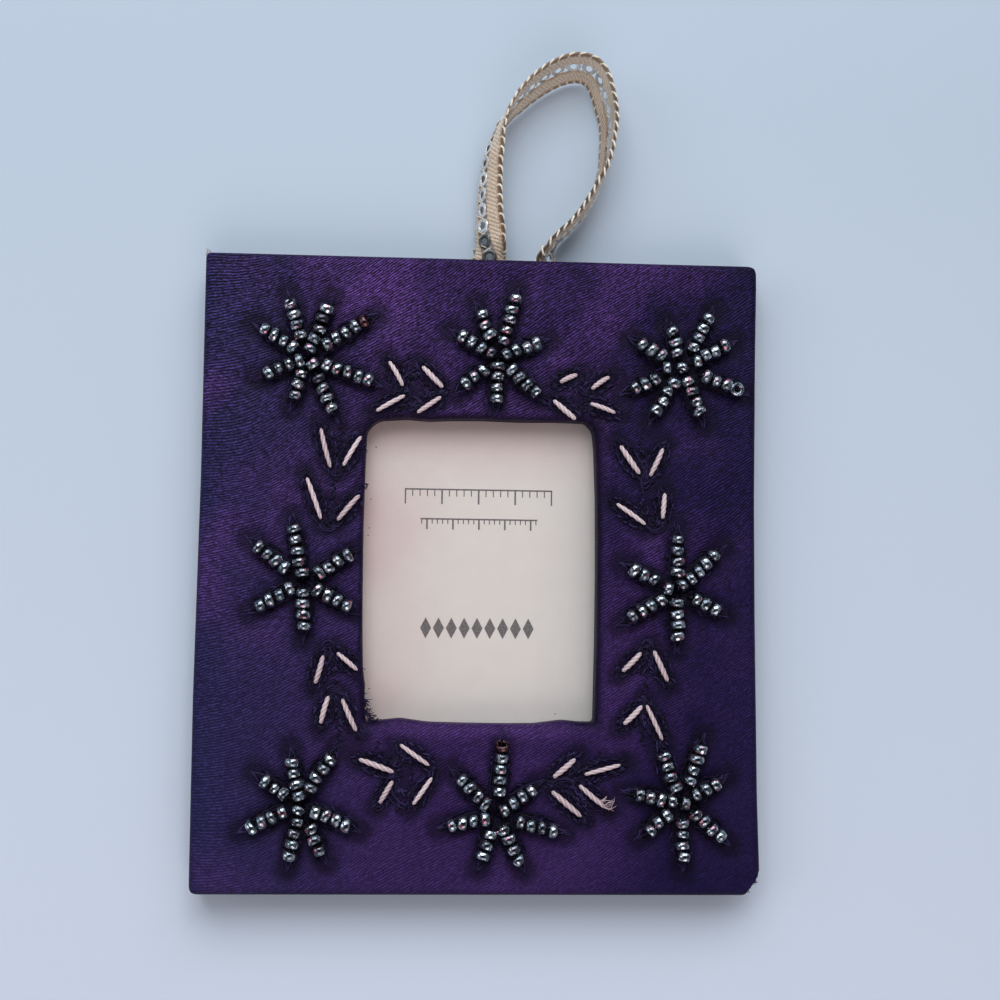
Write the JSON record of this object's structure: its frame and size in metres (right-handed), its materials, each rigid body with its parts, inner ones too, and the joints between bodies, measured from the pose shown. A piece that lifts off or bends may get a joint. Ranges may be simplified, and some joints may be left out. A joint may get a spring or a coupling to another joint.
{
  "type": "beaded hanging photo frame",
  "caption": "Small satin-covered picture frame with a window, strung bead flowers, leaf embroidery, a side slot for the picture and a sequinned ribbon loop to hang it by.",
  "frame": {"origin": "centre of the back face, where the frame lies on the table", "axes": "+Z out of the face, +Y towards the hanging ribbon, +X to the viewer's right"},
  "size_m": [0.09, 0.1372, 0.0103],
  "materials": {
    "satin": "purple satin with a fine twill and a soft sheen",
    "dark_thread": "near-black purple embroidery thread",
    "pale_floss": "pale pink stranded floss",
    "beads": "dark lustre glass with grey and rose glints",
    "grey_board": "uncoated board",
    "lining_paper": "plain paper",
    "insert_card": "smooth cream card",
    "clear_sheet": "clear film",
    "wadding": "thin wadding",
    "ribbon": "beige woven braid with looped edges",
    "sequins": "mirror silver"
  },
  "bodies": {
    "root": {"back_board": "grey_board", "back_cover": "satin", "back_lining": "lining_paper", "insert_card": "insert_card", "window_sheet": "clear_sheet", "spacer_left": "grey_board", "spacer_bottom": "grey_board", "spacer_top_left": "grey_board", "spacer_top_right": "grey_board", "front_board": "grey_board", "wadding": "wadding", "front_cover": "satin", "bead_threads": "dark_thread", "hanging_ribbon": "ribbon", "ribbon_sequins": "sequins", "beads_top_left": "beads", "petals_top_left": "dark_thread", "beads_top_middle": "beads", "petals_top_middle": "dark_thread", "beads_top_right": "beads", "petals_top_right": "dark_thread", "beads_middle_left": "beads", "petals_middle_left": "dark_thread", "beads_middle_right": "beads", "petals_middle_right": "dark_thread", "beads_bottom_left": "beads", "petals_bottom_left": "dark_thread", "beads_bottom_middle": "beads", "petals_bottom_middle": "dark_thread", "beads_bottom_right": "beads", "petals_bottom_right": "dark_thread", "leaves_top_left": "dark_thread", "stitches_top_left": "pale_floss", "leaves_top_right": "dark_thread", "stitches_top_right": "pale_floss", "leaves_left_upper": "dark_thread", "stitches_left_upper": "pale_floss", "leaves_left_lower": "dark_thread", "stitches_left_lower": "pale_floss", "leaves_right_upper": "dark_thread", "stitches_right_upper": "pale_floss", "leaves_right_lower": "dark_thread", "stitches_right_lower": "pale_floss", "leaves_bottom_left": "dark_thread", "stitches_bottom_left": "pale_floss", "leaves_bottom_right": "dark_thread", "stitches_bottom_right": "pale_floss"}
  },
  "joints": []
}
